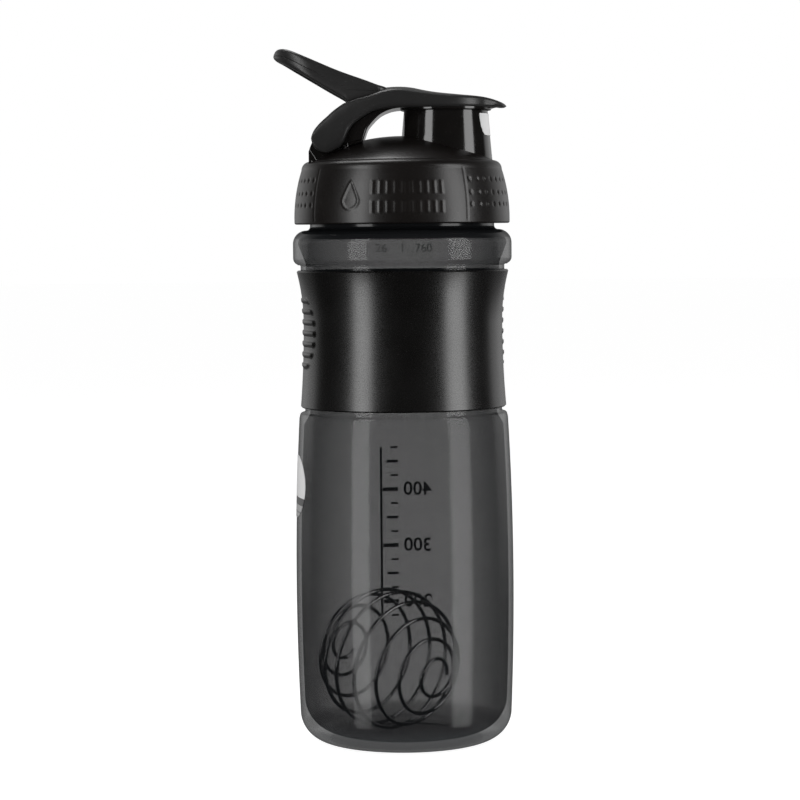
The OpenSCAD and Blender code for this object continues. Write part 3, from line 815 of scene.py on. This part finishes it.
def raisedAt(turn, z):  # how far the collar stands out at a turn from the front, in degrees
    arc = math.radians(turn) * collarR
    out = 0.0
    for first, last in ((lidLow + 10.6, lidLow + 15.6), (lidLow + 3.8, lidLow + 8.4)):
        if -12.4 < arc < 16.4:
            across = 0.78 - abs((arc + 12.4) % 2.88 - 1.44)
            out = max(out, gently(min(across, z - first, last - z), 0.45))
    dx, dz = arc + 19.6, z - (lidLow + 8.6)
    wide = 3.9 if dz < 0 else max(3.9 * (1 - dz / 7.4) ** 0.75, 0) if dz < 7.4 else 0
    drop = wide - abs(dx) if dz >= 0 else 3.9 - math.hypot(dx, dz)
    out = max(out, gently(min(drop, 1.25 - drop if drop < 1.25 else 0), 0.45))
    return lid["ribUp"] * out


def dimplesAt(turnFromSpout, z):
    deep = 0.0
    for middle, half in ((0, lid["frontHalf"]), (180, lid["backHalf"])):
        off = (turnFromSpout - middle + 180) % 360 - 180
        count = round(2 * half / lid["columnTurn"])
        pitch = 2 * half / count
        column = round((off + half) / pitch)
        if not -0.5 < column < count + 0.5:
            continue
        across = math.radians(off + half - column * pitch) * collarR
        for up in lid["rows"]:
            near = math.hypot(across, z - lidLow - up)
            if near < lid["dimpleR"]:
                deep = max(deep, math.cos(near / lid["dimpleR"] * math.pi / 2) ** 1.2)
    return lid["dimpleDeep"] * deep


def makeLidSkin():
    t = lid["skin"]
    seam = domeEdge - 0.55
    outer = [(collarAt(lidLow) - t + 0.02, lidLow + 0.5), (collarAt(lidLow) - t + 0.1, lidLow + 0.08),
             (collarAt(lidLow) - 0.75, lidLow), (collarAt(lidLow) - 0.25, lidLow + 0.12)]
    outer += [(collarAt(z), z) for z in even(lidLow + 0.5, edgeZ, 54)]
    outer += bend(domeEdge - 0.6, edgeZ, lid["edgeR"], 6, 76, 12)
    topEdge = domeAt(seam + 0.35)
    outer += [(seam + 0.45, topEdge - 0.02), (seam + 0.28, topEdge - lid["crease"])]
    outer += [(seam + 0.05, topEdge - lid["crease"])]
    inner = [(seam + 0.05, domeAt(seam, t) + 0.3), (seam + 0.05, domeAt(seam, t))]
    inner += bend(domeEdge - 0.6, edgeZ, lid["edgeR"] - t, 76, 0, 6)
    inner += [(collarAt(z) - t, z) for z in even(edgeZ, lidLow + 1, 12)]
    ring = spun("lidSkin", outer + inner, lid["steps"], loop=True)
    for v in ring.data.vertices:
        x, y, z = (c / mm for c in v.co)
        r = math.hypot(x, y)
        if z > edgeZ or z < lidLow + 1 or r < collarAt(z) - 0.3:
            continue
        turn = math.degrees(math.atan2(x, -y))
        fromSpout = math.degrees(math.atan2(y, x))
        move = raisedAt(turn, z) - dimplesAt(fromSpout, z)
        for middle, half in ((0, lid["frontHalf"] + 3.2), (180, lid["backHalf"] + 3.2)):
            off = abs((fromSpout - middle + 180) % 360 - 180)
            if abs(off - half) < 0.5:
                move -= lid["panelLine"]
        grown = (r + move) / r
        v.co.x, v.co.y = v.co.x * grown, v.co.y * grown
    cut = [(0, domeAt(0))] + [(r, domeAt(r)) for r in even(1.5, seam - 0.25, 26)]
    cut += [(seam - 0.02, domeAt(seam) - 0.12), (seam + 0.06, domeAt(seam) - 0.35)]
    cut += [(seam + 0.06, domeAt(seam, t))]
    cut += [(r, domeAt(r, t)) for r in even(seam - 1, 1.5, 20)] + [(0, domeAt(0, t))]
    dome = spun("dome", cut, 192)
    hole = spun("hole", [(0, domeZ - 30), (spoutR + spoutSlope * (spoutTop - domeZ + 30), domeZ - 30),
                         (spoutR, spoutTop), (0, spoutTop)], 128)
    for v in hole.data.vertices:
        v.co.x += spoutX * mm
    carve(dome, hole)
    half = capWide - 5.3
    carve(dome, boxIn("slot", (hinge[0] - 6.3, hinge[0] + 7.0), (-half, half), (domeZ - 5, domeZ + 20)))
    soften(dome)
    soften(ring)
    skin = joined("lidSkin", [ring, dome])
    finishPiece(skin, "lid", "soft_skin", lidSoft, "lid_collar")


def makeLidShell():
    shell = keepCopy("lid_shell", "lidShell")
    bpy.ops.object.mode_set(mode="EDIT")
    bpy.ops.mesh.select_all(action="DESELECT")
    bpy.ops.object.mode_set(mode="OBJECT")
    for e in shell.data.edges:
        a, b = (shell.data.vertices[i].co / mm for i in e.vertices)
        ends = [math.hypot(p.x - spoutX, p.y) for p in (a, b)]
        onRim = abs(a.z - spoutTop) < 0.02 and abs(b.z - spoutTop) < 0.02 and abs(ends[0] - ends[1]) < 0.1
        e.select = onRim
    bpy.ops.object.mode_set(mode="EDIT")
    bpy.ops.mesh.select_mode(type="EDGE")
    bpy.ops.mesh.bevel(offset=0.65 * mm, segments=4, profile=0.5)
    bpy.ops.object.mode_set(mode="OBJECT")
    soften(shell, 30)
    finishPiece(shell, "lid", "lid_plastic", gloss, "lid_shell")


makeLidSkin()
makeLidShell()
print("screw lid is made")


# the flip cap with its frame and loop
cap = {"rounding": 1.3, "arm": 5.0}


def fromHinge(points):
    return [(hinge[0] + x, hinge[2] + z) for x, z in points]


def fromSpout(points):
    return [(spoutX + x * capWide / 17.5, spoutTop + z) for x, z in points]


armTop = fromHinge([(-5.2, 0), (-5.05, 1.2), (-4.6, 2.3), (-3.5, 3.9), (-1.7, 5.9), (0.8, 8.1), (3.0, 10.1),
                    (6.0, 12.2), (7.4, 12.95), (11.4, 14.4), (15.5, 15.4), (18.7, 16.3), (21.2, 16.9)])
edgeTop = armTop + fromSpout([(-18.6, 5.9), (-12.1, 5.2), (-3.6, 4.2), (3.8, 3.5), (11.2, 3.05), (15.8, 2.45),
                              (19.7, 1.6), (21.3, 1.0), (22.1, 0.6), (22.4, 0.25)])
crownTop = fromHinge([(15.5, 15.4), (18.7, 17.6), (21.2, 18.9)]) + fromSpout(
    [(-19.2, 7.6), (-15.5, 7.6), (-12.1, 7.2), (-8.6, 6.4), (-3.6, 5.5), (3.8, 4.7), (11.2, 3.9), (15.8, 3.0),
     (19.7, 1.8), (21.5, 1.1), (22.2, 0.6), (22.4, 0.25)])
underSide = fromHinge([(-5.2, 0), (-5.0, -1.5), (-4.2, -3.1), (-2.7, -4.4), (0, -5.15), (2.2, -4.7),
                       (3.6, -3.9), (5.3, -3.0), (6.7, -1.2), (8.1, 2.2), (9.6, 4.3), (11.4, 6.2),
                       (15.5, 8.9), (18.4, 10.1)])
underSide += fromSpout([(-21.2, -0.8), (-17.2, -0.5), (-9.7, -0.45), (15, -0.45), (17.2, -0.1), (18.6, 0.0),
                        (19.8, -0.25), (21.4, -0.4), (22.2, -0.1), (22.4, 0.2)])
webIn = fromHinge([(13.6, 0.3), (14.6, 2.3), (16.3, 5.0), (20.0, 8.7), (24.2, 10.6)])
webIn += fromSpout([(-15.8, -0.5)])
webOut = fromSpout([(-15.8, 1.3)])
webOut += fromHinge([(24.0, 12.6), (21.0, 11.8), (18.2, 10.7), (15.3, 9.4), (11.2, 6.6), (9.4, 4.6),
                     (8.1, 2.6), (7.5, 0.2), (7.5, -1.2)])
cheek = fromHinge([(2.0, -3.2), (5.5, -2.9), (9.5, -2.0), (13.0, -0.6), (13.8, 0.6), (12.4, 2.6), (9.8, 4.2),
                   (7.6, 3.0), (3.0, 0.5)])
loopTop = fromHinge([(-19.4, 30.6), (-19.25, 31.5), (-18.8, 32.3), (-17.9, 33.0), (-15.9, 33.2),
                     (-12.9, 32.5), (-9.2, 30.9), (-1.7, 27.6), (3.9, 25.2), (8.9, 23.3), (13.2, 21.8),
                     (16.7, 20.5), (19.3, 19.5), (21.2, 19.0), (23.4, 18.4)])
loopLow = fromHinge([(-19.4, 30.4), (-19.1, 29.7), (-18.2, 29.1), (-15.5, 27.8), (-10.3, 24.8), (-4.5, 21.4),
                     (1.2, 18.0), (6.6, 14.9), (8.4, 13.4), (11.4, 13.6), (15.5, 14.4), (18.7, 15.1),
                     (23.4, 15.6)])


def sideShape(name, outline, half, rounding):  # a shape drawn from the side, with a width along Y
    piece = flatShape(name, [outline], 2 * half, rounding)
    for v in piece.data.vertices:
        v.co = Vector((v.co.x, -v.co.z, v.co.y))
    closeUp(piece)
    return piece


def makeCapSkin():
    thick = 4.0
    w, inside, left = capWide, capWide - cap["arm"], low("cap_skin", "x")
    tip = high("cap_skin", "x")
    nose = [(spoutX + w * math.sin(math.radians(a)), w * math.cos(math.radians(a))) for a in range(4, 53, 8)]
    nose += [(spoutX + x, y) for x, y in ((16.3, 9.1), (18.8, 7.3), (20.7, 5.1), (21.9, 2.7))]
    nose = flowing(nose + [(tip, 0)], 5)
    slotEnd = hinge[0] + 21.2
    half = [(left, inside), (left, w)] + [(x, w) for x in even(left + 2, spoutX - 1, 12)] + nose
    outline = half + [(x, -y) for x, y in reversed(half[:-1])]
    outline += [(slotEnd, -inside), (slotEnd, inside)]
    piece = flatShape("capSkin", [outline], thick, cap["rounding"], 3)
    places = [left + d for d in (0.03, 0.12, 0.3, 0.6, 1.0, 1.5, 2.1, 2.8)]
    places += even(left + 3.6, slotEnd + 2, 30) + even(slotEnd + 3.2, tip - 3.5, 24)
    places += [tip - d for d in (2.9, 2.3, 1.8, 1.35, 1.0, 0.7, 0.45, 0.25, 0.1)]
    sliced(piece, places)
    under, edge, crown = flowing(underSide), flowing(edgeTop), flowing(crownTop)
    only(piece)
    bpy.ops.object.mode_set(mode="EDIT")
    for y in even(-14, 14, 8):
        bpy.ops.mesh.select_all(action="SELECT")
        bpy.ops.mesh.bisect(plane_co=(0, y * mm, 0), plane_no=(0, 1, 0))
    bpy.ops.object.mode_set(mode="OBJECT")
    for v in piece.data.vertices:
        x, y = v.co.x / mm, v.co.y / mm
        share = min(max(v.co.z / (thick * mm) + 0.5, 0), 1)
        a, b = heightOn(under, x), heightOn(edge, x)
        if x > crown[0][0]:
            b += max(heightOn(crown, x) - b, 0) * (1 - min(abs(y) / w, 1) ** 2.2)
        v.co.z = (a + (b - a) * share) * mm
    closeUp(piece, 0.004 * mm)
    carve(piece, discAt("recess", 16.95, spoutTop - 5, spoutTop + 2.3))
    soften(piece, 38)
    finishPiece(piece, "flip_cap", "cap_skin", capSoft, "cap_skin")


def discAt(name, r, z0, z1, steps=128):
    disc = spun(name, [(0, z0), (r, z0), (r, z1), (0, z1)], steps)
    for v in disc.data.vertices:
        v.co.x += spoutX * mm
    return disc


def makeCapFrame():
    web = sideShape("capFrame", flowing(webIn, 5) + flowing(webOut, 5), 14.6, 1.0)
    only(web)
    bpy.ops.object.mode_set(mode="EDIT")
    for y in even(-12, 12, 8):
        bpy.ops.mesh.select_all(action="SELECT")
        bpy.ops.mesh.bisect(plane_co=(0, y * mm, 0), plane_no=(0, 1, 0))
    bpy.ops.object.mode_set(mode="OBJECT")
    for v in web.data.vertices:  # its lower end follows the dome
        x, y, up = (c / mm for c in v.co)
        drop = domeAt(abs(x)) - domeAt(math.hypot(x, y)) + 0.35
        v.co.z -= drop * (1 - gently(up - domeAt(abs(x)) - 0.5, 3.5)) * mm
    z = spoutTop + 0.3
    rim = [(15.7, 0), (15.95, -0.25), (15.95, -1.3), (16.05, -1.5), (16.3, -1.6), (16.55, -1.6),
           (16.8, -1.5), (16.9, -1.3), (16.9, -1.2), (16.9, 1.8), (16.8, 1.9)]  # from the plate's foot
    disc = spun("disc", [(0, z)] + [(r, z + up) for r, up in rim] + [(0, z + 1.9)], 144)
    for v in disc.data.vertices:
        v.co.x += spoutX * mm
    carve(web, disc, "UNION")
    for turn in (-1, 1):
        block = flatShape("cheek", [flowing(cheek, 3)], 1.8, 0.4)
        for v in block.data.vertices:
            v.co = Vector((v.co.x, -v.co.z + turn * 13.6 * mm, v.co.y))
        closeUp(block)
        carve(web, block, "UNION")
    soften(web, 35)
    finishPiece(web, "flip_cap", "lid_plastic", gloss, "cap_frame")


def makeLoop():
    half, strand = high("carry_loop", "y"), 4.4
    left = low("carry_loop", "x")
    right, holeEnd = hinge[0] + 23.2, hinge[0] + 8.6
    thick = 4.0
    mid = left + half
    outline = bend(mid, 0, half, 90, 270, 40) + [(x, -half) for x in even(mid + 2, right - 6, 8)]
    outline += bend(right - 5, -half + 5, 5, -80, 0, 6) + bend(right - 5, half - 5, 5, 0, 80, 6)
    outline += [(x, half) for x in even(right - 6, mid + 2, 8)]
    ir = half - strand
    hole = bend(mid, 0, ir, 90, 270, 32) + [(x, -ir) for x in even(mid + 2, holeEnd - 5, 5)]
    hole += bend(holeEnd - 4, -ir + 4, 4, -90, 0, 8) + bend(holeEnd - 4, ir - 4, 4, 0, 90, 8)
    hole += [(x, ir) for x in even(holeEnd - 5, mid + 2, 5)]
    piece = flatShape("carryLoop", [outline, hole], thick, 1.15, 4)
    bpy.ops.object.mode_set(mode="EDIT")
    for z in (-0.30, -0.18, -0.06):  # a fine parting line all round
        bpy.ops.mesh.select_all(action="SELECT")
        bpy.ops.mesh.bisect(plane_co=(0, 0, z * mm), plane_no=(0, 0, 1))
    bpy.ops.object.mode_set(mode="OBJECT")
    for v in piece.data.vertices:
        if abs(v.co.z / mm + 0.18) < 0.02:
            v.co -= Vector((v.normal.x, v.normal.y, 0)).normalized() * 0.16 * mm
    places = [left + d for d in (0.05, 0.2, 0.5, 0.9, 1.4, 2.0, 2.7)] + even(left + 3.5, right - 0.5, 34)
    sliced(piece, places)
    shaped(piece, thick, flowing(loopLow), flowing(loopTop))
    closeUp(piece, 0.004 * mm)
    root = sideShape("root", [(hinge[0] + x, hinge[2] + z) for x, z in flowing(
        [(23.0, 18.2), (22.9, 15.0), (21.2, 13.0), (17.3, 11.5), (12.8, 8.1), (11.2, 8.0), (9.6, 12.2),
         (9.0, 16.0), (8.9, 19.0), (9.6, 21.6), (13.2, 21.3), (16.7, 20.0), (19.3, 19.1)], 4)], 12.55, 0.6)
    carve(piece, root, "UNION")
    for v in piece.data.vertices:
        v.co.z = min(v.co.z, high("carry_loop", "z") * mm)
    soften(piece, 38)
    finishPiece(piece, "flip_cap", "cap_skin", capSoft, "carry_loop")


makeCapSkin()
makeCapFrame()
makeLoop()
print("flip cap is made")


# pieces kept from the frame get their own finishes
def paint(node, material):
    slots = frame["nodes"][node].data.materials
    slots.clear()
    slots.append(material)


bodyLabelFinish = filmLabel("bodyLabelFilm", 92.6 * mm, (0.045, 0.045, 0.045), (0.42, 0.42, 0.42))
spoutLabelFinish = filmLabel("spoutLabelFilm", 222 * mm, (0.35, 0.35, 0.35), (0.86, 0.86, 0.86))
for node, material in (("body_label", bodyLabelFinish), ("spout_label", spoutLabelFinish),
                       ("hinge_pin", pinSteel), ("lid_seal", silicone), ("spout_plug", gloss)):
    paint(node, material)
print("labels, pin, seal and plug are painted")
